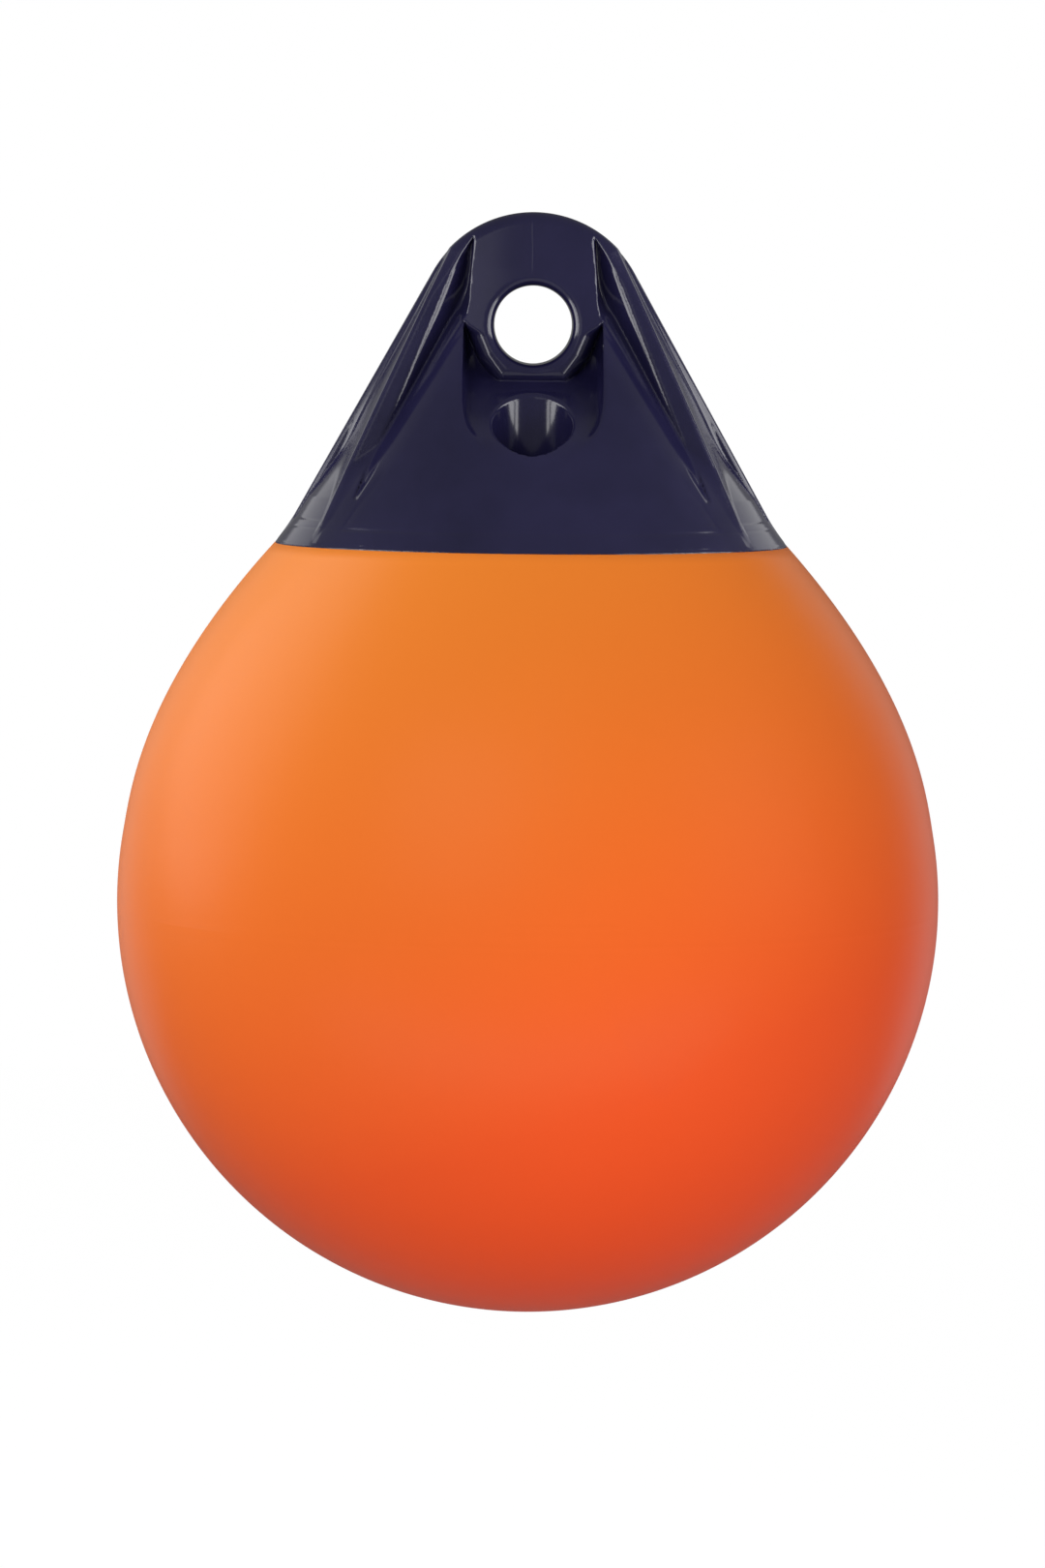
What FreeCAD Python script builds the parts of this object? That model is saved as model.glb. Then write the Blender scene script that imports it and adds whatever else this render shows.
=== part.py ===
import FreeCAD, Part
import math
import os
import Sketcher
from FreeCAD import Vector

# An inflatable round buoy: a hollow ball with a ribbed rope hold on top and an air valve in the hold.
# Frame: +Z up, the rope eye runs along Y, the valve side faces -Y, the origin is the centre of the eye.

SIZES = {
    # ball
    "ball_radius": 105.0,
    "ball_centre_z": -147.0,
    "ball_wall": 2.8,
    "shoulder_rise": 18.0,
    "shoulder_low_handle": 10.0,
    "shoulder_high_handle": 50.0,
    "neck_slope_deg": 48.0,
    "neck_radius": 65.4,
    "neck_z": -55.8,
    # outline of the rope hold seen from the front
    "arch_radius": 29.36,
    "arch_centre_z": -1.06,
    "arch_top_z": 28.3,
    "flank_tangent_x": 25.61,
    "flank_tangent_z": 13.29,
    "flank_foot_x": 61.08,
    "foot_z": -50.0,
    "plate_thickness": 10.0,
    # body of revolution between the ribs
    "core_top_r": 17.2,
    "core_top_z": 20.0,
    "core_kink_r": 45.2,
    "core_kink_z": -30.0,
    "core_flare_r": 58.8,
    "core_flare_z": -46.0,
    "crease_inset": 3.5,
    "crease_z": -51.8,
    "neck_step": 4.0,
    "skirt_clearance": 0.3,
    "skirt_thickness": 3.9,
    "skirt_z": -70.0,
    "roof_wall": 9.2,
    "roof_z": -50.0,
    "hollow_r": 24.0,
    "hollow_top_r": 17.0,
    "hollow_top_z": -24.0,
    # legs and head
    "notch_x": 20.98,
    "notch_z": 19.5,
    "leg_foot_x": 52.57,
    "face_top_y": 20.8,
    "face_top_z": 30.0,
    "face_foot_y": 32.0,
    "floor_top_y": 13.8,
    "floor_foot_y": 25.0,
    "envelope_top_r": 38.0,
    "envelope_low_r": 55.4,
    "envelope_low_z": -40.0,
    "envelope_foot_r": 61.0,
    # side pockets beside the boss
    "pocket_top_x": 15.0,
    "pocket_top_z": 20.6,
    "pocket_out1_x": 21.5,
    "pocket_out1_z": 12.8,
    "pocket_out2_x": 24.6,
    "pocket_out2_z": 5.4,
    "pocket_out3_x": 33.0,
    "pocket_out3_z": -15.1,
    "pocket_tip_x": 43.9,
    "pocket_tip_z": -43.2,
    "pocket_kink_x": 34.1,
    "pocket_kink_z": -29.1,
    "pocket_knee_x": 17.4,
    "pocket_knee_z": 0.3,
    "pocket_in1_x": 16.2,
    "pocket_in1_z": 5.6,
    # field: the sloping front between the pockets
    "field_top_r": 30.84,
    "field_foot_x": 48.6,
    "field_foot_r": 61.02,
    # scoop, boss and well
    "scoop_half_width": 17.2,
    "scoop_top_z": 12.0,
    "scoop_back_y": -18.0,
    "scoop_centre_y": -35.4,
    "scoop_front_y": -56.0,
    "scoop_floor_back_z": -9.3,
    "scoop_floor_front_z": -35.4,
    "boss_half_width": 17.0,
    "boss_side_z": -1.5,
    "boss_corner_x": 13.5,
    "boss_corner_z": -8.8,
    "boss_foot_x": 8.8,
    "boss_foot_z": -15.0,
    "eye_radius": 10.0,
    "eye_lip": 2.5,
    "well_radius": 10.0,
    "well_y": -39.7,
    "well_floor_z": -45.0,
    # valve
    "bush_radius": 5.0,
    "bush_clearance": 0.3,
    "bush_flange_radius": 7.5,
    "bush_flange_height": 1.6,
    "bush_bottom_z": -56.0,
    "bush_bore_radius": 2.8,
    "washer_radius": 6.5,
    "washer_height": 1.2,
    "screw_head_radius": 6.2,
    "screw_head_height": 4.0,
    "screw_shank_radius": 2.5,
    "screw_shank_length": 9.0,
    "screw_slot_width": 1.4,
    "screw_slot_depth": 1.6,
    # roundings
    "head_edge": 1.8,
}

doc = FreeCAD.newDocument("Buoy")
sheet = doc.addObject("Spreadsheet::Sheet", "Size")
for row, (alias, value) in enumerate(SIZES.items(), start=1):
    sheet.set("A%d" % row, alias)
    sheet.set("B%d" % row, str(value))
    sheet.setAlias("B%d" % row, alias)
doc.recompute()


def size(alias):
    return float(sheet.get(alias))


def new_body(label):
    body = doc.addObject("PartDesign::Body", label)
    body.Label = label
    return body


def plane_sketch(body, role, label):
    sketch = body.newObject("Sketcher::SketchObject", label)
    plane = [f for f in body.Origin.OriginFeatures if f.Role == role][0]
    sketch.AttachmentSupport = (plane, "")
    sketch.MapMode = "FlatFace"
    return sketch


def hold(sketch, geometry, point, coords):
    # ties one sketch point to two named sizes; an empty name is the axis itself
    for kind, (sign, alias) in zip(("DistanceX", "DistanceY"), coords):
        value = sign * size(alias) if alias else 0.0
        if abs(value) < 1e-9:
            onto = -2 if kind == "DistanceX" else -1
            sketch.addConstraint(Sketcher.Constraint("PointOnObject", geometry, point, onto))
            continue
        number = sketch.addConstraint(Sketcher.Constraint(kind, -1, 1, geometry, point, value))
        sketch.setExpression("Constraints[%d]" % number, "%d * Size.%s" % (sign, alias))


def spot(coords):
    return Vector(*[sign * size(alias) if alias else 0.0 for sign, alias in coords], 0.0)


def polygon(sketch, corners):
    # a closed outline through named corners
    count = len(corners)
    for i in range(count):
        sketch.addGeometry(Part.LineSegment(spot(corners[i]), spot(corners[(i + 1) % count])), False)
    for i in range(count):
        sketch.addConstraint(Sketcher.Constraint("Coincident", i, 2, (i + 1) % count, 1))
    for i in range(count):
        hold(sketch, i, 1, corners[i])


def arch(sketch, foot, shoulder):
    # two straight flanks, a foot line and the round arch over them
    left = [(-1, foot[0]), (1, foot[1])]
    right = [(1, foot[0]), (1, foot[1])]
    left_top = [(-1, shoulder[0]), (1, shoulder[1])]
    right_top = [(1, shoulder[0]), (1, shoulder[1])]
    top = Vector(0, size("arch_top_z"), 0)
    sketch.addGeometry(Part.LineSegment(spot(left_top), spot(left)), False)
    sketch.addGeometry(Part.LineSegment(spot(left), spot(right)), False)
    sketch.addGeometry(Part.LineSegment(spot(right), spot(right_top)), False)
    sketch.addGeometry(Part.Arc(spot(right_top), top, spot(left_top)), False)
    sketch.addConstraint(Sketcher.Constraint("Coincident", 0, 2, 1, 1))
    sketch.addConstraint(Sketcher.Constraint("Coincident", 1, 2, 2, 1))
    sketch.addConstraint(Sketcher.Constraint("Coincident", 2, 2, 3, 1))
    sketch.addConstraint(Sketcher.Constraint("Coincident", 3, 2, 0, 1))
    hold(sketch, 0, 1, left_top)
    hold(sketch, 0, 2, left)
    hold(sketch, 2, 1, right)
    hold(sketch, 2, 2, right_top)
    number = sketch.addConstraint(Sketcher.Constraint("Radius", 3, size("arch_radius")))
    sketch.setExpression("Constraints[%d]" % number, "Size.arch_radius")


def pad(body, sketch, alias, factor=1.0):
    feature = body.newObject("PartDesign::Pad", body.Label + "_pad")
    feature.Profile = sketch
    feature.Midplane = True
    feature.Length = factor * abs(size(alias))
    feature.setExpression("Length", "%g * abs(Size.%s)" % (factor, alias))
    sketch.Visibility = False
    return feature


def turn(body, sketch):
    feature = body.newObject("PartDesign::Revolution", body.Label + "_turn")
    feature.Profile = sketch
    feature.ReferenceAxis = (sketch, ["V_Axis"])
    feature.Angle = 360.0
    sketch.Visibility = False
    return feature


def turned(label, corners):
    body = new_body(label)
    sketch = plane_sketch(body, "XZ_Plane", label + "_profile")
    polygon(sketch, [[(1, r), (1, z)] for r, z in corners])
    turn(body, sketch)
    return body


def prism(label, role, corners, alias, factor):
    body = new_body(label)
    sketch = plane_sketch(body, role, label + "_outline")
    polygon(sketch, corners)
    pad(body, sketch, alias, factor)
    return body


def fuse(label, shapes):
    result = doc.addObject("Part::MultiFuse", label)
    result.Refine = False
    result.Shapes = shapes
    return result


def common(label, shapes):
    result = doc.addObject("Part::MultiCommon", label)
    result.Refine = False
    result.Shapes = shapes
    return result


def cut(label, base, tool):
    result = doc.addObject("Part::Cut", label)
    result.Refine = False
    result.Base = base
    result.Tool = tool
    return result


def cylinder(label, radius, height, place):
    # place is three expressions for the foot of the cylinder
    rod = doc.addObject("Part::Cylinder", label)
    rod.setExpression("Radius", radius)
    rod.setExpression("Height", height)
    for axis, text in zip("xyz", place):
        rod.setExpression(".Placement.Base." + axis, text)
    return rod


def both_sides(corners):
    # mirrors an open chain of right-hand corners into one closed outline
    left = [[(-sx, ax), (sz, az)] for (sx, ax), (sz, az) in reversed(corners)]
    return corners + left


# Ball, profile: round below and drawn out into a neck above. The shoulder and the inner skin are short
# straight steps that stay close to the curve.
radius = size("ball_radius")
centre_z = size("ball_centre_z")
wall = size("ball_wall")
join_angle = math.asin(size("shoulder_rise") / radius)
neck_angle = math.radians(size("neck_slope_deg"))


def on_ball(r, angle):
    return Vector(r * math.cos(angle), centre_z + r * math.sin(angle), 0)


def shoulder_point(t):
    # a curve that leaves the ball along it and reaches the neck at the neck's own slope
    start = on_ball(radius, join_angle)
    end = Vector(size("neck_radius"), size("neck_z"), 0)
    leave = start + Vector(-math.sin(join_angle), math.cos(join_angle), 0) * size("shoulder_low_handle")
    arrive = end - Vector(-math.cos(neck_angle), math.sin(neck_angle), 0) * size("shoulder_high_handle")
    u = 1 - t
    return start * u ** 3 + leave * (3 * u * u * t) + arrive * (3 * u * t * t) + end * t ** 3


STEPS = 7
INNER_STEPS = 9
outer_points = [shoulder_point(i / float(STEPS)) for i in range(STEPS + 1)]
inner_points = []
for i in range(INNER_STEPS + 1):
    inner_points.append(on_ball(radius - wall, -math.pi / 2 + (join_angle + math.pi / 2) * i / INNER_STEPS))
for before, at, after in zip(outer_points, outer_points[1:], outer_points[2:]):
    way = (after - before).normalize()
    inner_points.append(at + Vector(-way.y, way.x, 0) * wall)
way = (outer_points[-1] - outer_points[-2]).normalize()
inner_points.append(outer_points[-1] + Vector(-wall / abs(way.y), 0, 0))
low = on_ball(radius, -math.pi / 2)
low.x = 0.0
inner_points[0].x = 0.0


def derived(alias, value):
    # a size that follows from others gets its own line below the named sizes
    derived.row += 1
    sheet.set("A%d" % derived.row, alias)
    sheet.set("B%d" % derived.row, "%.6f" % value)
    sheet.setAlias("B%d" % derived.row, alias)
    doc.recompute()


derived.row = len(SIZES)


def inner_skin_radius(z):
    for one, two in zip(inner_points, inner_points[1:]):
        if min(one.y, two.y) <= z <= max(one.y, two.y) and one.y > centre_z:
            return one.x + (two.x - one.x) * (z - one.y) / (two.y - one.y)
    return inner_points[-1].x


# The skirt hangs inside the neck, clear of the inner skin, and the roof of the hollow ends inside the skirt.
derived("step_r", size("neck_radius") - size("neck_step"))
derived("crease_r", size("neck_radius") - size("crease_inset"))
derived("roof_r", size("crease_r") - size("roof_wall"))
derived("skirt_r", inner_skin_radius(size("skirt_z")) - size("skirt_clearance"))
derived("skirt_inner_r", size("skirt_r") - size("skirt_thickness"))

# Rope hold, outside: the body of revolution with its flare, ring band and skirt.
core = turned("core", [
    ("", "skirt_z"), ("", "core_top_z"), ("core_top_r", "core_top_z"), ("core_kink_r", "core_kink_z"),
    ("core_flare_r", "core_flare_z"), ("crease_r", "crease_z"), ("neck_radius", "neck_z"),
    ("step_r", "neck_z"), ("skirt_r", "skirt_z"),
])

# Rope hold: the centre plate whose edge is the outline seen from the front.
plate = new_body("plate")
plate_sketch = plane_sketch(plate, "XZ_Plane", "plate_outline")
arch(plate_sketch, ("flank_foot_x", "foot_z"), ("flank_tangent_x", "flank_tangent_z"))
pad(plate, plate_sketch, "plate_thickness")

# Rope hold: the head and the A-frame legs, between two leaning faces.
legs = new_body("legs")
legs_sketch = plane_sketch(legs, "XZ_Plane", "legs_outline")
arch(legs_sketch, ("leg_foot_x", "foot_z"), ("notch_x", "notch_z"))
pad(legs, legs_sketch, "face_foot_y", 2.2)


def slab(label, top, foot):
    return prism(label, "YZ_Plane", [
        [(-1, foot), (1, "foot_z")], [(1, foot), (1, "foot_z")],
        [(1, top), (1, "face_top_z")], [(-1, top), (1, "face_top_z")],
    ], "flank_foot_x", 2.2)


faces = slab("faces", "face_top_y", "face_foot_y")
envelope = turned("envelope", [
    ("", "foot_z"), ("", "face_top_z"), ("envelope_top_r", "face_top_z"),
    ("envelope_low_r", "envelope_low_z"), ("envelope_foot_r", "foot_z"),
])
head_plain = common("head_plain", [legs, faces])
eye = doc.addObject("Part::Cylinder", "eye")
eye.setExpression("Radius", "Size.eye_radius")
eye.setExpression("Height", "3 * Size.face_foot_y")
eye.Placement = FreeCAD.Placement(Vector(0, 1.5 * size("face_foot_y"), 0), FreeCAD.Rotation(Vector(1, 0, 0), 90))
eye.setExpression(".Placement.Base.y", "1.5 * Size.face_foot_y")
head = cut("head", head_plain, eye)
doc.recompute()


def head_edges(shape):
    # the front and back edges of the arch and the legs, and the two rims of the eye, each with its radius
    found = []
    for number, edge in enumerate(shape.Edges, start=1):
        points = edge.discretize(9)
        y_face = [size("face_top_y") + (size("face_top_z") - p.z) * FACE_LEAN for p in points]
        on_face = all(abs(abs(p.y) - y) < 0.05 for p, y in zip(points, y_face))
        on_foot = all(p.z < size("foot_z") + 0.05 for p in points)
        on_eye = all(abs(math.hypot(p.x, p.z) - size("eye_radius")) < 0.05 for p in points)
        if on_face and on_eye:
            found.append((number, size("eye_lip"), size("eye_lip")))
        elif on_face and not on_foot:
            found.append((number, size("head_edge"), size("head_edge")))
    return found


FACE_LEAN = (size("face_foot_y") - size("face_top_y")) / (size("face_top_z") - size("foot_z"))
head_round = doc.addObject("Part::Fillet", "head_round")
head_round.Base = head
head_round.Edges = head_edges(head.Shape)

# Rope hold: the pockets between legs and boss, open to the front and to the back.
pocket_right = [
    [(1, "pocket_top_x"), (1, "pocket_top_z")], [(1, "pocket_out1_x"), (1, "pocket_out1_z")],
    [(1, "pocket_out2_x"), (1, "pocket_out2_z")], [(1, "pocket_out3_x"), (1, "pocket_out3_z")],
    [(1, "pocket_tip_x"), (1, "pocket_tip_z")], [(1, "pocket_kink_x"), (1, "pocket_kink_z")],
    [(1, "pocket_knee_x"), (1, "pocket_knee_z")], [(1, "pocket_in1_x"), (1, "pocket_in1_z")],
]
pocket_left = [[(-sx, ax), (sz, az)] for (sx, ax), (sz, az) in pocket_right]
right_tool = prism("pocket_right", "XZ_Plane", pocket_right, "face_foot_y", 2.4)
left_tool = prism("pocket_left", "XZ_Plane", pocket_left, "face_foot_y", 2.4)
frame_right = cut("frame_right", head_round, right_tool)
frame_both = cut("frame_both", frame_right, left_tool)
frame_open = common("frame_open", [frame_both, envelope])
floor_slab = slab("floor_slab", "floor_top_y", "floor_foot_y")
frame_floor = common("frame_floor", [legs, floor_slab, envelope])

# Rope hold: the field, the sloping front between the two pockets, on a steep cone.
field_outline = prism("field_outline", "XZ_Plane", both_sides([
    [(1, "field_foot_x"), (1, "foot_z")], [(1, "pocket_tip_x"), (1, "pocket_tip_z")],
    [(1, "pocket_kink_x"), (1, "pocket_kink_z")], [(1, "pocket_knee_x"), (1, "pocket_knee_z")],
]), "flank_foot_x", 2.2)
field_cone = turned("field_cone", [
    ("", "foot_z"), ("", "pocket_knee_z"), ("field_top_r", "pocket_knee_z"), ("field_foot_r", "foot_z"),
])
field = common("field", [field_outline, field_cone])

outside = fuse("outside", [core, plate, frame_open, frame_floor, field])

# Rope hold: the scoop, a slot with a sloping floor that leads a tool down to the valve.
slot_box = doc.addObject("Part::Box", "slot_box")
slot_box.setExpression("Length", "2 * Size.scoop_half_width")
slot_box.setExpression("Width", "Size.scoop_back_y - Size.scoop_centre_y")
slot_box.setExpression("Height", "Size.scoop_top_z - Size.scoop_floor_front_z")
slot_box.setExpression(".Placement.Base.x", "-Size.scoop_half_width")
slot_box.setExpression(".Placement.Base.y", "Size.scoop_centre_y")
slot_box.setExpression(".Placement.Base.z", "Size.scoop_floor_front_z")
slot_round = cylinder("slot_round", "Size.scoop_half_width",
                      "Size.scoop_top_z - Size.scoop_floor_front_z",
                      ("0", "Size.scoop_centre_y", "Size.scoop_floor_front_z"))
slot = fuse("slot", [slot_box, slot_round])
scoop_side = prism("scoop_side", "YZ_Plane", [
    [(1, "scoop_back_y"), (1, "scoop_top_z")], [(1, "scoop_back_y"), (1, "scoop_floor_back_z")],
    [(1, "scoop_front_y"), (1, "scoop_floor_front_z")], [(1, "scoop_front_y"), (1, "scoop_top_z")],
], "scoop_half_width", 2.4)
scoop = common("scoop", [slot, scoop_side])
scoop_behind = doc.addObject("Part::Mirroring", "scoop_behind")
scoop_behind.Source = scoop
scoop_behind.Normal = Vector(0, 1, 0)
scoops = fuse("scoops", [scoop, scoop_behind])
scooped = cut("scooped", outside, scoops)

# Rope hold: the boss round the eye, standing in the scoop.
boss_outline = prism("boss_outline", "XZ_Plane", both_sides([
    [(1, "boss_foot_x"), (1, "boss_foot_z")], [(1, "boss_corner_x"), (1, "boss_corner_z")],
    [(1, "boss_half_width"), (1, "boss_side_z")], [(1, "boss_half_width"), (1, "pocket_knee_z")],
    [(1, "pocket_knee_x"), (1, "pocket_knee_z")], [(1, "pocket_in1_x"), (1, "pocket_in1_z")],
    [(1, "pocket_top_x"), (1, "pocket_top_z")],
]), "face_foot_y", 2.2)
boss = common("boss", [boss_outline, head_round])
with_boss = fuse("with_boss", [scooped, boss])

# Rope hold: eye, well, hole for the valve bush and the hollow underneath.
well = cylinder("well", "Size.well_radius", "Size.pocket_knee_z - 3 - Size.well_floor_z",
                ("0", "Size.well_y", "Size.well_floor_z"))
bush_hole = cylinder("bush_hole", "Size.bush_radius + Size.bush_clearance",
                     "Size.well_floor_z - Size.bush_bottom_z + 1",
                     ("0", "Size.well_y", "Size.bush_bottom_z"))
hollow = turned("hollow", [
    ("", "skirt_z"), ("", "hollow_top_z"), ("hollow_top_r", "hollow_top_z"), ("hollow_r", "roof_z"),
    ("roof_r", "roof_z"), ("skirt_inner_r", "skirt_z"),
])
lowered = fuse("openings", [well, bush_hole, hollow])
hold_plain = cut("hold_plain", with_boss, lowered)
rope_hold = cut("hold_bored", hold_plain, eye)
rope_hold.Label = "rope_hold"

# Ball: a hollow shell turned about Z.
ball = new_body("ball")
ball_sketch = plane_sketch(ball, "XZ_Plane", "ball_profile")
ball_sketch.addGeometry(Part.Arc(low, on_ball(radius, -0.7), outer_points[0]), False)
chain = outer_points + inner_points[::-1] + [low]
for start, end in zip(chain, chain[1:]):
    ball_sketch.addGeometry(Part.LineSegment(start, end), False)
for number in range(len(ball_sketch.Geometry)):
    ball_sketch.addConstraint(Sketcher.Constraint("Block", number))
turn(ball, ball_sketch)

# Valve: a flanged bush in the floor of the well, a sealing ring on it and a slotted screw in it.
bush_rod = cylinder("bush_rod", "Size.bush_radius", "Size.well_floor_z - Size.bush_bottom_z",
                    ("0", "Size.well_y", "Size.bush_bottom_z"))
bush_flange = cylinder("bush_flange", "Size.bush_flange_radius", "Size.bush_flange_height",
                       ("0", "Size.well_y", "Size.well_floor_z"))
bush_solid = fuse("bush_solid", [bush_rod, bush_flange])
bush_bore = cylinder("bush_bore", "Size.bush_bore_radius",
                     "Size.well_floor_z - Size.bush_bottom_z + 2 * Size.bush_flange_height",
                     ("0", "Size.well_y", "Size.bush_bottom_z"))
valve_body = cut("valve_body", bush_solid, bush_bore)

washer_disc = cylinder("washer_disc", "Size.washer_radius", "Size.washer_height",
                       ("0", "Size.well_y", "Size.well_floor_z + Size.bush_flange_height"))
washer_bore = cylinder("washer_bore", "Size.bush_bore_radius", "Size.washer_height",
                       ("0", "Size.well_y", "Size.well_floor_z + Size.bush_flange_height"))
valve_washer = cut("valve_washer", washer_disc, washer_bore)

head_z = "Size.well_floor_z + Size.bush_flange_height + Size.washer_height"
screw_head = cylinder("screw_head", "Size.screw_head_radius", "Size.screw_head_height", ("0", "Size.well_y", head_z))
screw_shank = cylinder("screw_shank", "Size.screw_shank_radius", "Size.screw_shank_length + 1",
                       ("0", "Size.well_y", head_z + " - Size.screw_shank_length"))
screw_solid = fuse("screw_solid", [screw_head, screw_shank])
screw_slot = doc.addObject("Part::Box", "screw_slot")
screw_slot.setExpression("Length", "3 * Size.screw_head_radius")
screw_slot.setExpression("Width", "Size.screw_slot_width")
screw_slot.setExpression("Height", "2 * Size.screw_slot_depth")
screw_slot.setExpression(".Placement.Base.x", "-1.5 * Size.screw_head_radius")
screw_slot.setExpression(".Placement.Base.y", "Size.well_y - Size.screw_slot_width / 2")
screw_slot.setExpression(".Placement.Base.z", head_z + " + Size.screw_head_height - Size.screw_slot_depth")
valve_screw = cut("valve_screw", screw_solid, screw_slot)

doc.recompute()
for thing in doc.Objects:
    state = [s for s in thing.State if s in ("Invalid", "Error")]
    if state:
        raise RuntimeError("%s: %s" % (thing.Label, state))

os.makedirs("parts", exist_ok=True)
NODES = {"ball": ball, "rope_hold": rope_hold, "valve_body": valve_body, "valve_washer": valve_washer, "valve_screw": valve_screw}
for name, thing in NODES.items():
    shape = thing.Shape
    if shape.isNull() or not shape.isValid() or len(shape.Solids) != 1:
        raise RuntimeError("%s: not one sound solid (%d)" % (name, len(shape.Solids)))
    box = shape.BoundBox
    print("%s %.1f cm3, x %.1f..%.1f y %.1f..%.1f z %.1f..%.1f" % (
        name, shape.Volume / 1000, box.XMin, box.XMax, box.YMin, box.YMax, box.ZMin, box.ZMax))
    shape.Solids[0].exportStep("parts/%s.step" % name)
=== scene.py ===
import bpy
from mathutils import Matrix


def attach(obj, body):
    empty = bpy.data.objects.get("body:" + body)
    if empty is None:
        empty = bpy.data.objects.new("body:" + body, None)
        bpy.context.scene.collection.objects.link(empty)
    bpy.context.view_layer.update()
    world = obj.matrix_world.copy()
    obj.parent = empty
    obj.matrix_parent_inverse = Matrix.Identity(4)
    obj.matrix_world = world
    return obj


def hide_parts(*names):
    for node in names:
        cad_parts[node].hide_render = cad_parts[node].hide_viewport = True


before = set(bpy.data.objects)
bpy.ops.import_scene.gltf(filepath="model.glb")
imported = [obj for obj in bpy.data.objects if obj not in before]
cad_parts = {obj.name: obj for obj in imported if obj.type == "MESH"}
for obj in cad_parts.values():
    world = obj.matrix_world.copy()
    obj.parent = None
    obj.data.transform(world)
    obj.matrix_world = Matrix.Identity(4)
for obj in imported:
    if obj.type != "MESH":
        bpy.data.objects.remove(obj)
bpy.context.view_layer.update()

import math
import bpy
import numpy as np
from mathutils import Quaternion, Vector


# Ball: one hollow rotational moulding of soft orange vinyl with a smooth satin skin, round below and drawn
# out into a neck that the rope hold is fused into. A faint seam runs round its middle. Meshes are drawn in
# millimetres, as (distance from the axis, height) for turned forms, and materials work in metres.
scene = bpy.context.scene
MM = 0.001
BALL_RADIUS = 104.94
BALL_CENTRE_Z = -147.0
BALL_WALL = 2.8
SHOULDER_RISE = 18.0
SHOULDER_PULL = 10.0
NECK_PULL = 50.0
NECK_ANGLE = math.radians(48.0)
NECK_TOP = np.array([65.4, -55.8])
NECK_INNER_EDGE = (61.8, -55.8)
INNER_SKIN_TOP_Z = -56.3
ARC_POINTS = 110
CURVE_POINTS = 50


def smooth(mesh):
    mesh.polygons.foreach_set("use_smooth", np.ones(len(mesh.polygons), bool))


def mesh_object(name, points, faces):
    mesh = bpy.data.meshes.new(name)
    mesh.from_pydata((points * MM).tolist(), [], faces)
    mesh.update()
    smooth(mesh)
    thing = bpy.data.objects.new(name, mesh)
    scene.collection.objects.link(thing)
    return thing


# The outer skin is an arc up to the shoulder and one curve from there to the top of the neck.
shoulder = math.asin(SHOULDER_RISE / BALL_RADIUS)
arc_end = np.array([BALL_RADIUS * math.cos(shoulder), BALL_CENTRE_Z + SHOULDER_RISE])
handles = np.array([
    arc_end,
    arc_end + SHOULDER_PULL * np.array([-math.sin(shoulder), math.cos(shoulder)]),
    NECK_TOP - NECK_PULL * np.array([-math.cos(NECK_ANGLE), math.sin(NECK_ANGLE)]),
    NECK_TOP,
])
skin = [(BALL_RADIUS * math.cos(a), BALL_CENTRE_Z + BALL_RADIUS * math.sin(a))
        for a in np.linspace(-math.pi / 2, shoulder, ARC_POINTS)]
for t in np.linspace(0, 1, CURVE_POINTS)[1:]:
    weights = np.array([(1 - t) ** 3, 3 * t * (1 - t) ** 2, 3 * t * t * (1 - t), t ** 3])
    skin.append(tuple(weights @ handles))
skin = np.array(skin)
along = np.gradient(skin, axis=0)
along /= np.hypot(*along.T)[:, None]
inner_skin = skin + BALL_WALL * np.stack([-along[:, 1], along[:, 0]], 1)
inner_skin[0] = (0, BALL_CENTRE_Z - BALL_RADIUS + BALL_WALL)
inner_skin = inner_skin[inner_skin[:, 1] < INNER_SKIN_TOP_Z]
loop = np.concatenate([skin, [NECK_INNER_EDGE], inner_skin[::-1]])

turns = 224
angles = np.linspace(0, 2 * math.pi, turns, endpoint=False)
rings = [np.stack([r * np.cos(angles), r * np.sin(angles), np.full(turns, z)], 1) for r, z in loop[1:-1]]
ball_points = np.concatenate([[(0, 0, loop[0][1])]] + rings + [[(0, 0, loop[-1][1])]])
last_ring = 1 + (len(rings) - 1) * turns
ball_faces = []
for k in range(turns):
    ball_faces.append([0, 1 + (k + 1) % turns, 1 + k])
for first in range(1, last_ring, turns):
    for k in range(turns):
        n = (k + 1) % turns
        ball_faces.append([first + k, first + n, first + turns + n, first + turns + k])
for k in range(turns):
    ball_faces.append([last_ring + k, last_ring + (k + 1) % turns, len(ball_points) - 1])
ball = mesh_object("ball_dressed", ball_points, ball_faces)
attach(ball, "root")
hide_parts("ball")


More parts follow.
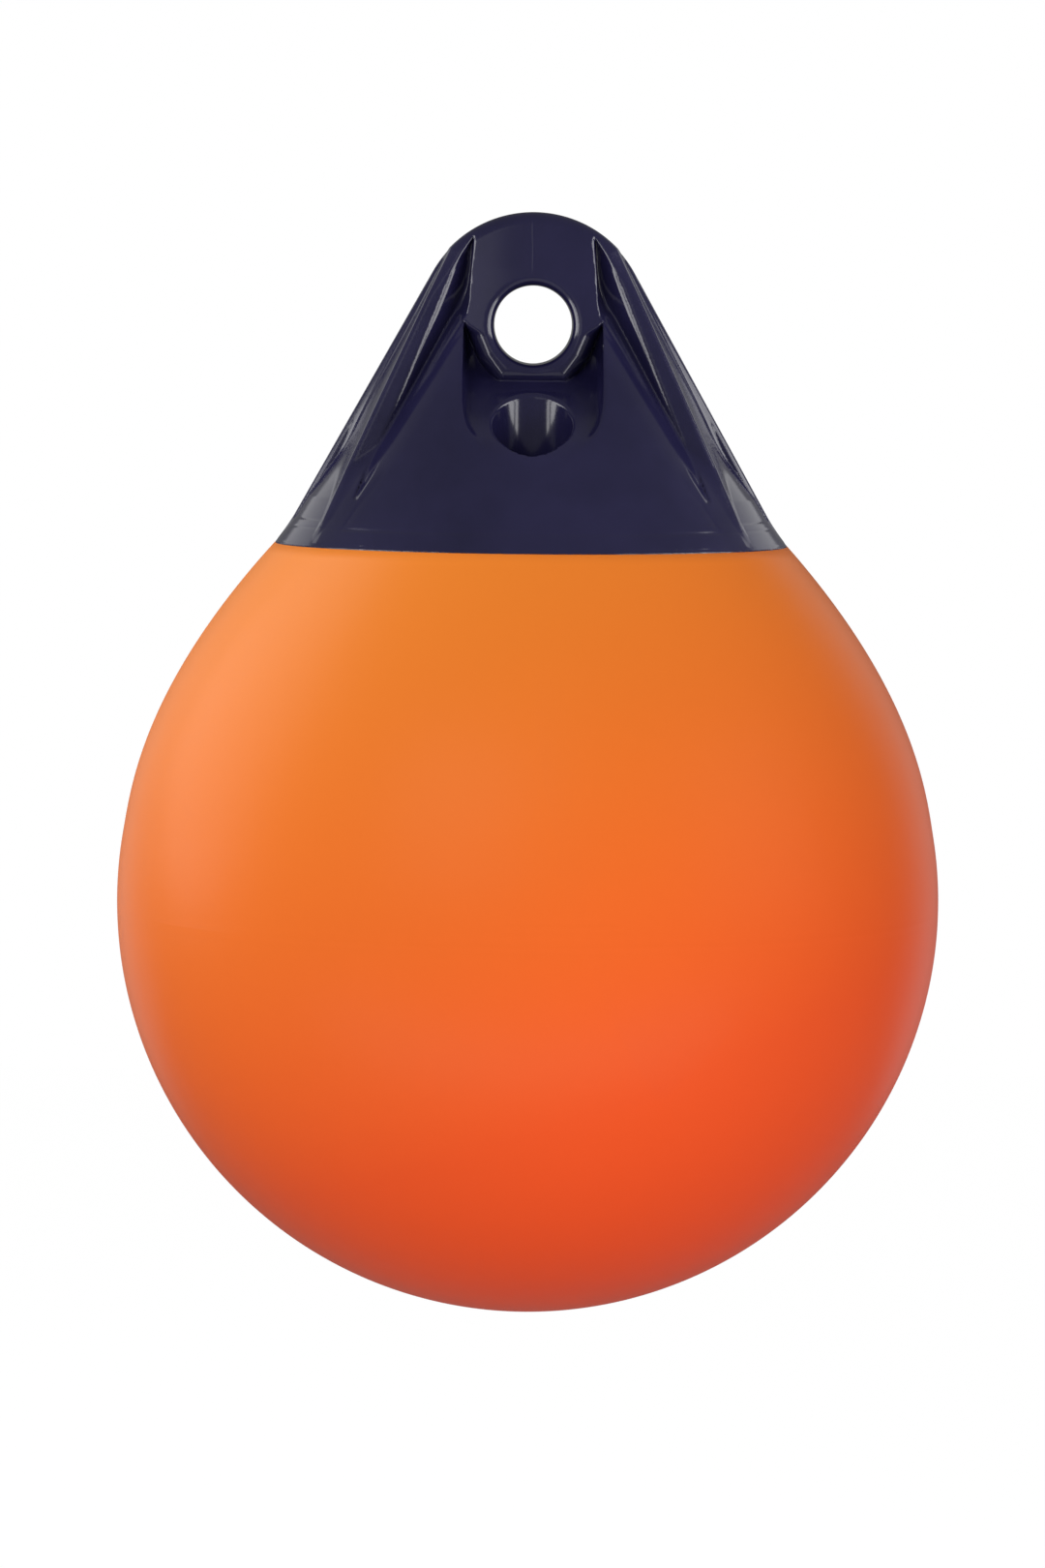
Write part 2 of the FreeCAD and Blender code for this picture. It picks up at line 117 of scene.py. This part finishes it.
class Wire:
    # one socket of a node tree that can be used in sums like a number
    def __init__(self, tree, socket=None):
        self.tree = tree
        self.socket = socket

    def plug(self, target, value):
        if isinstance(value, Wire):
            self.tree.links.new(value.socket, target)
        else:
            target.default_value = value

    def node(self, kind, settings=None, sockets=None, out=0):
        made = self.tree.nodes.new("ShaderNode" + kind)
        for key, value in (settings or {}).items():
            if key == "stops":
                ramp = made.color_ramp.elements
                while len(ramp) < len(value):
                    ramp.new(1.0)
                for stop, (place, colour) in zip(ramp, value):
                    stop.position = place
                    stop.color = (*colour, 1)
            else:
                setattr(made, key, value)
        for key, value in (sockets or {}).items():
            self.plug(made.inputs[key], value)
        return made if out is None else Wire(self.tree, made.outputs[out])

    def sum(self, operation, *terms):
        return self.node("Math", {"operation": operation}, dict(enumerate(terms)))

    def __add__(self, other):
        return self.sum("ADD", self, other)

    def __sub__(self, other):
        return self.sum("SUBTRACT", self, other)

    def __rsub__(self, other):
        return self.sum("SUBTRACT", other, self)

    def __mul__(self, other):
        return self.sum("MULTIPLY", self, other)

    def __truediv__(self, other):
        return self.sum("DIVIDE", self, other)

    __radd__ = __add__
    __rmul__ = __mul__

    def abs(self):
        return self.sum("ABSOLUTE", self)

    def clamp(self):
        return self.node("Clamp", sockets={0: self})


def finish(name, colour=(0.8, 0.8, 0.8), roughness=0.5, metallic=0.0, specular=0.5):
    material = bpy.data.materials.new(name)
    material.use_nodes = True
    shader = material.node_tree.nodes["Principled BSDF"]
    shader.inputs["Base Color"].default_value = (*colour, 1)
    shader.inputs["Roughness"].default_value = roughness
    shader.inputs["Metallic"].default_value = metallic
    shader.inputs["Specular IOR Level"].default_value = specular
    return material, shader, Wire(material.node_tree)


def object_place(coat):
    spot = coat.node("TexCoord", out="Object")
    across = spot.node("SeparateXYZ", sockets={0: spot}, out=0)
    up = spot.node("SeparateXYZ", sockets={0: spot}, out=2)
    return spot, across, up


def noise(spot, scale, detail=2.0, roughness=0.5):
    return spot.node("TexNoise", sockets={
        "Vector": spot, "Scale": scale, "Detail": detail, "Roughness": roughness})


def line(offset, half_width):
    # 1 where the offset is nothing, fading to 0 at the half width
    return 1 - (offset.abs() / half_width).clamp()


BALL_BOTTOM = -0.252
COLOURED_HEIGHT = 0.196
BALL_HALF_WIDTH = 0.105
soft_vinyl, shader, coat = finish("ball", roughness=0.36, specular=0.12)
spot, across, up = object_place(coat)
# Painted shading: the base colour is lighter and yellower towards the top and the left, where the light
# falls, and redder towards the lower right, away from it.
painted_light_upper_left = ((up - BALL_BOTTOM) / COLOURED_HEIGHT * 0.80 - across / BALL_HALF_WIDTH * 0.16 + 0.12).clamp()
orange = coat.node("ValToRGB", {"stops": [
    (0.00, (0.88, 0.060, 0.0130)),
    (0.35, (0.83, 0.090, 0.0180)),
    (0.62, (0.85, 0.158, 0.0220)),
    (1.00, (0.95, 0.266, 0.0300)),
]}, {0: painted_light_upper_left})
coat.plug(shader.inputs["Base Color"], orange)
coat.plug(shader.inputs["Roughness"], 0.33 + 0.06 * noise(spot, 18.0, 3.0, 0.6))
wave = noise(spot, 30.0)
seam = line(up + 0.1485, 0.0016)
seam_end = (((across - 0.0085).abs() - 0.0135) / 0.002).clamp()
second_seam = line(up + 0.1437, 0.0009) * 0.6 * (1 - seam_end)
dents = coat.node("Bump", sockets={
    "Strength": 0.35,
    "Distance": 0.0012,
    "Height": wave * 0.5 + seam * 0.10 + second_seam * 0.10,
})
coat.plug(shader.inputs["Normal"], dents)
ball.data.materials.append(soft_vinyl)


# Rope hold: one injection moulding of hard, shiny navy vinyl, fused on to the ball's neck, with a round eye
# for the rope, two legs with pockets, and a scoop and well for the air valve. It is written as a signed
# distance in millimetres, so that every edge and foot gets its own rounding, and is then meshed.
ARCH_RADIUS = 29.36
ARCH_Z = -1.06
FLANK_TOP_Z = 59.0
FLANK_SLOPE = 0.5604
FLANK_SLANT = 1.1463
EYE_RADIUS = 10.0
PLATE_HALF = 5.0
CORE_TOP_Z = 20.0
CORE_UNDER_FIELD = 0.3

# Each cone has its radius at a level, its slope, and the slant length that makes its distances true.
INSET_CONE = (45.2, -30.0, 0.56, 1.146)
FLARE_CONE = (45.2, -30.0, 0.85, 1.312)
FIELD_CONE = (62.1, -51.8, 0.6, 1.166)
RIM_CONE = (61.2, -51.1, 0.89, 1.339)
RIM_TOP_Z = -50.0
RIM_RADIUS = 65.2
CREASE_Z = -54.0
FOOT_Z = -56.0

# The leaning faces are measured at the level of their top.
FACE_TOP_Z = 30.0
FACE_LEAN = 0.14
FACE_SLANT = 1.01
LEG_FACE_Y = 20.8
POCKET_FLOOR_Y = 13.8
LEG_SIDE_X = 20.98
LEG_SIDE_Z = 19.5
LEG_SPREAD = 0.4545
LEG_SLANT = 1.107
CROWN_BEND = 0.0022
CROWN_HALF = 22.0
WALL_SPREAD = 0.4
WALL_SLANT = 1.47
OUTER_EDGE_X = 20.5
OUTER_EDGE_Z = 5.0
OUTER_EDGE_SPREAD = 0.45
OUTER_EDGE_FADE = 3.0
FIELD_EDGE_SLOPE = 0.75
FIELD_EDGE_SLANT = 1.25
FIELD_MARGIN = 3.5

SCOOP_HALF = 17.5
SCOOP_END_Y = 35.4
SCOOP_BACK_Y = 18.0
SCOOP_TOP_Z = 14.0
SCOOP_FLOOR_Z = -24.2
SCOOP_SLOPE = 0.687
SCOOP_SLANT = 1.213
WELL_RADIUS = 10.0
WELL_Y = -39.7
WELL_FLOOR_Z = -45.0
BOSS_CHAMFER = 2.6
DIAGONAL = 1.414

# Outlines seen from the front, as (x, z).
POCKET = [(15.2, 21.6), (21.5, 12.8), (24.6, 5.4), (33.0, -15.1), (43.9, -43.2), (34.1, -29.1),
          (17.4, 0.3), (16.2, 5.6)]
FIELD = [(17.4, 0.3), (34.1, -29.1), (43.9, -43.2), (50.5, -53.0), (-50.5, -53.0), (-43.9, -43.2),
         (-34.1, -29.1), (-17.4, 0.3)]
BOSS = [(8.8, -15.0), (13.5, -8.8), (17.4, 0.3), (40.0, 0.3), (40.0, 60.0), (-40.0, 60.0), (-40.0, 0.3),
        (-17.4, 0.3), (-13.5, -8.8), (-8.8, -15.0)]


def polygon_distance(px, pz, corners):
    best = np.full(np.broadcast(px, pz).shape, 1e9)
    sign = np.ones_like(best)
    for (ax, az), (bx, bz) in zip(corners, corners[1:] + corners[:1]):
        ex, ez = bx - ax, bz - az
        wx, wz = px - ax, pz - az
        t = np.clip((wx * ex + wz * ez) / (ex * ex + ez * ez), 0, 1)
        best = np.minimum(best, np.hypot(wx - ex * t, wz - ez * t))
        crosses = (pz >= az) != (pz >= bz)
        side = (ex * wz - ez * wx) > 0
        flip = crosses & (side if bz > az else ~side)
        sign = np.where(flip, -sign, sign)
    return sign * best


def join(a, b, r):
    # both forms as one, with a fillet of radius r between them
    u = np.maximum(r - a, 0)
    v = np.maximum(r - b, 0)
    return np.maximum(r, np.minimum(a, b)) - np.hypot(u, v)


def meet(a, b, r):
    # what both forms share, with an edge rounded to radius r
    u = np.maximum(r + a, 0)
    v = np.maximum(r + b, 0)
    return np.minimum(-r, np.maximum(a, b)) + np.hypot(u, v)


def ease(value, start, end):
    # 0 before the start, 1 after the end, and smooth between
    t = np.clip((value - start) / (end - start), 0, 1)
    return t * t * (3 - 2 * t)


def cone_distance(radial, z, cone):
    radius, level, slope, slant = cone
    return (radial - radius + slope * (z - level)) / slant


def leaning_face(ay, z, top_y):
    return (ay - top_y - FACE_LEAN * (FACE_TOP_Z - z)) / FACE_SLANT


def hold_distance(x, y, z):
    ax = np.abs(x)
    ay = np.abs(y)
    radial = np.hypot(x, y)
    # outline seen from the front: a round arch on straight flanks
    flank = (ax - FLANK_SLOPE * (FLANK_TOP_Z - z)) / FLANK_SLANT
    arch = np.hypot(x, z - ARCH_Z) - ARCH_RADIUS
    outline = np.where(z - ARCH_Z > FLANK_SLOPE * ax, arch, flank)
    # turned inset body that flares below, kept just under the cone that the field lies on
    inset = join(cone_distance(radial, z, INSET_CONE), cone_distance(radial, z, FLARE_CONE), 4.0)
    field_cone = cone_distance(radial, z, FIELD_CONE)
    core = meet(np.maximum(inset, field_cone + CORE_UNDER_FIELD), z - CORE_TOP_Z, 1.0)
    # centre plate
    plate = meet(outline, ay - PLATE_HALF, 1.6)
    # head and legs between two leaning faces
    face = leaning_face(ay, z, LEG_FACE_Y)
    draft = 0.03 + 0.11 * ease(z, 20.0, -25.0)
    leg_side = ax - LEG_SIDE_X - LEG_SPREAD * (LEG_SIDE_Z - z) + draft * np.minimum(face, 0)
    leg_outline = np.maximum(leg_side / LEG_SLANT, outline)
    crown = face + CROWN_BEND * np.minimum(ax, CROWN_HALF) ** 2
    beyond = polygon_distance(x, z, FIELD)
    sunk = 6.0 * ease(z, -40.0, -24.0) + 30.0 * ease(z, -22.0, -10.0) + 4.0 * ease(beyond, -1.0, -7.0)
    leg_front = join(crown, field_cone + sunk, 3.0)
    front = meet(leg_outline, leg_front, 1.2 + 2.0 * ease(z, 6.0, 18.0))
    # pocket in each leg, with a slanting outer wall
    pocket_floor = leaning_face(ay, z, POCKET_FLOOR_Y)
    wall_x, wall_z = POCKET[2]
    wall = (face + (wall_x + WALL_SPREAD * (wall_z - z) - ax)) / WALL_SLANT
    cut = meet(polygon_distance(ax, z, POCKET), -pocket_floor, 3.0)
    cut = meet(cut, -wall, 1.0)
    past_edge = ax - OUTER_EDGE_X - OUTER_EDGE_SPREAD * (OUTER_EDGE_Z - z)
    outer = ease(past_edge / OUTER_EDGE_FADE, -0.5, 0.5)
    front = meet(front, -cut, 0.4 + 0.6 * outer)
    # sloping field between the pockets
    field = meet((field_cone + FIELD_EDGE_SLOPE * beyond) / FIELD_EDGE_SLANT, field_cone, 2.0)
    field = meet(field, beyond - FIELD_MARGIN, 1.5)
    foot = 0.01 + ease(z, -50.0, -24.0)
    low = ease(z, 17.0, 9.0)
    body = join(core, plate, 0.01 + 1.2 * foot * low)
    body = join(body, front, 0.01 + 1.4 * foot * low)
    body = join(body, field, 1.8 * foot)
    # scoop with a sloping floor, the same behind, cut round the boss that carries the eye
    slot = np.where(ay > SCOOP_END_Y, np.hypot(x, ay - SCOOP_END_Y) - SCOOP_HALF, ax - SCOOP_HALF)
    scoop_floor = (SCOOP_FLOOR_Z + SCOOP_SLOPE * (-WELL_Y - ay) - z) / SCOOP_SLANT
    scoop = meet(meet(slot, scoop_floor, 1.5), SCOOP_BACK_Y - ay, 5.0)
    scoop = np.maximum(scoop, z - SCOOP_TOP_Z)
    boss_side = polygon_distance(x, z, BOSS)
    chamfer = (boss_side + crown + BOSS_CHAMFER - 3.0 * ease(z, -3.0, 1.0)) / DIAGONAL
    boss = meet(meet(boss_side, crown, 0.8), chamfer, 1.2)
    edge = 0.02 + 1.1 * ease(ay, 25.0, 29.0) * ease(boss_side, 1.0, 5.0)
    body = meet(body, -np.maximum(scoop, -boss), edge)
    # well and eye
    well = np.maximum(np.hypot(x, y - WELL_Y) - WELL_RADIUS, WELL_FLOOR_Z - z)
    body = meet(body, -well, 0.7)
    body = meet(body, EYE_RADIUS - np.hypot(x, z), 2.4)
    # crease and rim band above the ball
    rim = np.maximum(cone_distance(radial, z, RIM_CONE), z - RIM_TOP_Z)
    rim = np.maximum(rim, radial - RIM_RADIUS)
    body = np.maximum(body, outline)
    body = join(np.maximum(body, CREASE_Z - z), rim, 1.2)
    return np.maximum(body, FOOT_Z - z)


def net_mesh(distance, low, high, step):
    # surface nets: one vertex in each cell that the surface crosses, moved onto the surface
    axes = [np.arange(a, b + step, step) for a, b in zip(low, high)]
    gx, gy, gz = axes[0][:, None, None], axes[1][None, :, None], axes[2][None, None, :]
    f = distance(gx, gy, gz).astype(np.float32)
    inside = f < 0
    count = np.zeros(tuple(n - 1 for n in f.shape), np.int8)
    corners = [(i, j, k) for i in (0, 1) for j in (0, 1) for k in (0, 1)]
    for i, j, k in corners:
        count += inside[i:f.shape[0] - 1 + i, j:f.shape[1] - 1 + j, k:f.shape[2] - 1 + k]
    cells = np.argwhere((count > 0) & (count < 8))
    index = np.full(count.shape, -1, np.int64)
    index[tuple(cells.T)] = np.arange(len(cells))
    total = np.zeros((len(cells), 3))
    hits = np.zeros(len(cells))
    for a in corners:
        for axis in range(3):
            if a[axis]:
                continue
            b = list(a)
            b[axis] = 1
            fa = f[tuple((cells + a).T)]
            fb = f[tuple((cells + b).T)]
            cross = (fa < 0) != (fb < 0)
            t = np.where(cross, fa / np.where(cross, fa - fb, 1), 0)
            point = np.tile(np.array(a, float), (len(cells), 1))
            point[:, axis] = t
            total += np.where(cross[:, None], point, 0)
            hits += cross
    points = np.array(low) + (cells + total / hits[:, None]) * step
    faces = []
    for axis in range(3):
        u, v = (axis + 1) % 3, (axis + 2) % 3
        n = inside.shape[axis]
        first = np.take(inside, range(n - 1), axis)
        second = np.take(inside, range(1, n), axis)
        edges = np.argwhere(first != second)
        edges = edges[(edges[:, u] > 0) & (edges[:, v] > 0)]
        edges = edges[(edges[:, u] < count.shape[u]) & (edges[:, v] < count.shape[v])]
        goes_out = first[tuple(edges.T)]
        quad = []
        for du, dv in ((0, 0), (1, 0), (1, 1), (0, 1)):
            cell = edges.copy()
            cell[:, u] -= du
            cell[:, v] -= dv
            quad.append(index[tuple(cell.T)])
        quad = np.stack(quad, 1)
        quad[~goes_out] = quad[~goes_out][:, ::-1]
        faces.append(quad)
    faces = np.concatenate(faces)
    return points, faces[(faces >= 0).all(1)]


def slope(distance, points, probe):
    x, y, z = points.T
    return np.stack([
        distance(x + probe, y, z) - distance(x - probe, y, z),
        distance(x, y + probe, z) - distance(x, y - probe, z),
        distance(x, y, z + probe) - distance(x, y, z - probe),
    ], 1) / (2 * probe)


def settle(distance, points, rounds, probe=0.02, reach=0.4):
    # moves the points onto the surface, none further than the reach in one round
    for _ in range(rounds):
        g = slope(distance, points, probe)
        steepness = np.maximum((g * g).sum(1), 0.25)
        move = (distance(*points.T) / steepness)[:, None] * g
        points = points - np.clip(move, -reach, reach)
    return points


CELL = 0.55
GRID_LOW = (-66.5, -66.5, -59.0)
GRID_HIGH = (66.5, 66.5, 29.5)
TRIANGLES_MOST = 190000
NORMAL_PROBE = 0.06
points, faces = net_mesh(hold_distance, GRID_LOW, GRID_HIGH, CELL)
points = settle(hold_distance, points, 4)
hold = mesh_object("hold_dressed", points, faces.tolist())
if 2 * len(faces) > TRIANGLES_MOST:
    thin = hold.modifiers.new("thin", "DECIMATE")
    thin.ratio = TRIANGLES_MOST / (2 * len(faces))
    bpy.context.view_layer.update()
    thinned = bpy.data.meshes.new_from_object(hold.evaluated_get(bpy.context.evaluated_depsgraph_get()))
    hold.modifiers.clear()
    hold.data = thinned
points = np.empty(len(hold.data.vertices) * 3)
hold.data.vertices.foreach_get("co", points)
points = settle(hold_distance, points.reshape(-1, 3) * 1000, 2)
hold.data.vertices.foreach_set("co", (points * MM).ravel())
normals = slope(hold_distance, points, NORMAL_PROBE)
normals /= np.maximum(np.linalg.norm(normals, axis=1), 1e-9)[:, None]
smooth(hold.data)
hold.data.normals_split_custom_set_from_vertices(normals.tolist())
hold.data.update()
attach(hold, "root")
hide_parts("rope_hold")

hard_vinyl, shader, coat = finish("rope_hold", roughness=0.13, specular=0.7)
spot, across, up = object_place(coat)
cloud = noise(spot, 35.0, 4.0, 0.6)
navy = coat.node("ValToRGB", {"stops": [
    (0.30, (0.0072, 0.0064, 0.0262)),
    (0.70, (0.0118, 0.0104, 0.0378)),
]}, {0: cloud})
coat.plug(shader.inputs["Base Color"], navy)
coat.plug(shader.inputs["Roughness"], 0.10 + 0.08 * cloud)
grain = noise(spot, 900.0)
ripple = noise(spot, 70.0, 1.0)
waver = noise(spot, 60.0, 1.0)
weld = line(across + 0.0002 + 0.0012 * (waver - 0.5), 0.0003) * ((up - 0.0125) / 0.002).clamp()
crease = cloud * 1.6 * line(up + 0.0510 + 0.0004 * (waver - 0.5), 0.0005)
bumps = coat.node("Bump", sockets={
    "Strength": 0.30,
    "Distance": 0.0006,
    "Height": ripple * 0.3 + grain * 0.02 + weld * 0.12 - crease * 0.4,
})
coat.plug(shader.inputs["Normal"], bumps)
hold.data.materials.append(hard_vinyl)


# Valve: a brass bush through the floor of the well, a rubber washer on it and a slotted nylon screw that
# closes the air hole. They keep their solids and get their own finishes.
for name, colour, metallic, shiny, dull in (
    ("valve_body", (0.60, 0.42, 0.18), 1.0, 0.25, 0.40),
    ("valve_washer", (0.020, 0.020, 0.020), 0.0, 0.55, 0.70),
    ("valve_screw", (0.015, 0.015, 0.017), 0.0, 0.35, 0.50),
):
    material, shader, coat = finish(name, colour, shiny, metallic)
    handled = noise(coat.node("TexCoord", out="Object"), 400.0)
    coat.plug(shader.inputs["Roughness"], shiny + (dull - shiny) * handled)
    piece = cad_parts[name]
    piece.data.materials.clear()
    piece.data.materials.append(material)


# Stage: the buoy stands clear of a pale floor, in front of plain white. The camera sees the world white, and
# reflections see it far dimmer, so that the navy keeps its depth.
FLOOR_Z = -0.62
BACKDROP_Y = 1.1
BACKDROP_TOP_Z = 0.75
WHITE = (1, 1, 1, 1)


def ray_kinds(wire):
    return [wire.node("LightPath", out=f"Is {kind} Ray") for kind in ("Camera", "Glossy", "Transmission")]


surround = bpy.data.worlds.new("surround")
scene.world = surround
surround.use_nodes = True
surround.node_tree.nodes.clear()
air = Wire(surround.node_tree)
camera_ray, gloss_ray, clear_ray = ray_kinds(air)
dim = air.node("Background", sockets={"Color": WHITE, "Strength": 0.127})
white = air.node("Background", sockets={"Color": WHITE, "Strength": 1.0})
sky = air.node("MixShader", sockets={
    0: (camera_ray + clear_ray + gloss_ray * 0.05).clamp(),
    1: dim,
    2: white,
})
air.plug(air.node("OutputWorld", out=None).inputs["Surface"], sky)


def card(name, corners, glow, pale, shine):
    mesh = bpy.data.meshes.new(name)
    mesh.from_pydata(corners, [], [tuple(range(len(corners)))])
    thing = bpy.data.objects.new(name, mesh)
    scene.collection.objects.link(thing)
    material, shader, paper = finish(name, (pale, pale, pale), roughness=0.9)
    lit = paper.node("Emission", sockets={"Color": WHITE, "Strength": glow})
    camera_ray, gloss_ray, clear_ray = ray_kinds(paper)
    mix = paper.node("MixShader", sockets={
        0: (camera_ray * 0.8 + gloss_ray * shine + clear_ray * 0.8).clamp(),
        1: Wire(paper.tree, shader.outputs[0]),
        2: lit,
    })
    paper.plug(paper.tree.nodes["Material Output"].inputs["Surface"], mix)
    mesh.materials.append(material)


card("floor", [(-2.5, -2.0, FLOOR_Z), (2.5, -2.0, FLOOR_Z), (2.5, 3.5, FLOOR_Z), (-2.5, 3.5, FLOOR_Z)],
     glow=1.23, pale=0.45, shine=0.1)
for name, near_x, far_x in (("backdrop_left", -0.5, -1.4), ("backdrop_right", 0.5, 1.4)):
    card(name, [(near_x, BACKDROP_Y, FLOOR_Z), (far_x, BACKDROP_Y, FLOOR_Z),
                (far_x, BACKDROP_Y, BACKDROP_TOP_Z), (near_x, BACKDROP_Y, BACKDROP_TOP_Z)],
         glow=1.1, pale=0.6, shine=0.55)


# Lamps: a tall oval softbox high on the left lights the ball alone, and five softboxes light the rope hold
# alone. Of the three plain fills, which reflections don't show, one lights the ball's underside alone.
def lit_group(name, piece):
    group = bpy.data.collections.new(name)
    group.objects.link(piece)
    return group


def softbox(name, place, aim, width, height, watts, only=None, roll=0.0, shape="RECTANGLE", seen=True):
    light = bpy.data.lights.new(name, "AREA")
    light.shape = shape
    light.size = width
    light.size_y = height
    light.energy = watts
    lamp = bpy.data.objects.new(name, light)
    scene.collection.objects.link(lamp)
    lamp.location = place
    turn = (Vector(aim) - Vector(place)).to_track_quat("-Z", "Y")
    lamp.rotation_euler = (turn @ Quaternion((0, 0, 1), roll)).to_euler()
    lamp.visible_glossy = seen
    if only is not None:
        lamp.light_linking.receiver_collection = only


for_ball = lit_group("for_ball", ball)
for_hold = lit_group("for_hold", hold)
softbox("left", (-1.20, 0.54, 0.90), (0, 0.54, 0.90), 1.32, 2.4, 20.0, for_ball,
        roll=math.radians(20), shape="ELLIPSE")
softbox("side_left", (-1.20, -0.35, -0.18), (0, -0.35, -0.18), 1.10, 1.45, 20.0, for_hold)
softbox("side_right", (1.20, -0.35, -0.14), (0, -0.35, -0.14), 1.10, 1.50, 20.0, for_hold)
softbox("front_left", (-0.95, -0.95, 0.05), (0, 0, 0), 0.20, 1.0, 2.2, for_hold)
softbox("front_right", (0.95, -0.95, 0.05), (0, 0, 0), 0.20, 1.0, 2.4, for_hold)
softbox("face_left", (-0.45, -1.25, 0.36), (0, 0, 0), 0.70, 0.50, 0.35, for_hold)
softbox("fill_front", (-0.6, -1.6, 0.7), (0, 0, -0.1), 1.2, 1.2, 19.0, seen=False)
softbox("fill_right", (1.3, -0.6, 0.3), (0, 0, -0.15), 1.0, 1.0, 10.0, seen=False)
softbox("fill_low", (0, -0.35, -0.39), (0, -0.05, -0.25), 1.0, 0.08, 1.1, for_ball, seen=False)


# Camera: a long lens level with the eye and 1.6 m in front of it, looking down by 4.4 degrees and rolled by
# half a degree, as the photograph was taken.
LENS = 144.1
LOOKS_DOWN = 4.364
ROLLED = 0.55
camera = bpy.data.cameras.new("camera")
camera.sensor_fit = "VERTICAL"
camera.sensor_width = 24
camera.sensor_height = 36
camera.lens = LENS
viewer = bpy.data.objects.new("camera", camera)
scene.collection.objects.link(viewer)
viewer.location = (-0.0016, -1.6, 0.005)
tilt = Quaternion((1, 0, 0), math.radians(90 - LOOKS_DOWN)) @ Quaternion((0, 0, 1), math.radians(ROLLED))
viewer.rotation_euler = tilt.to_euler()
scene.camera = viewer
scene.view_settings.view_transform = "Standard"
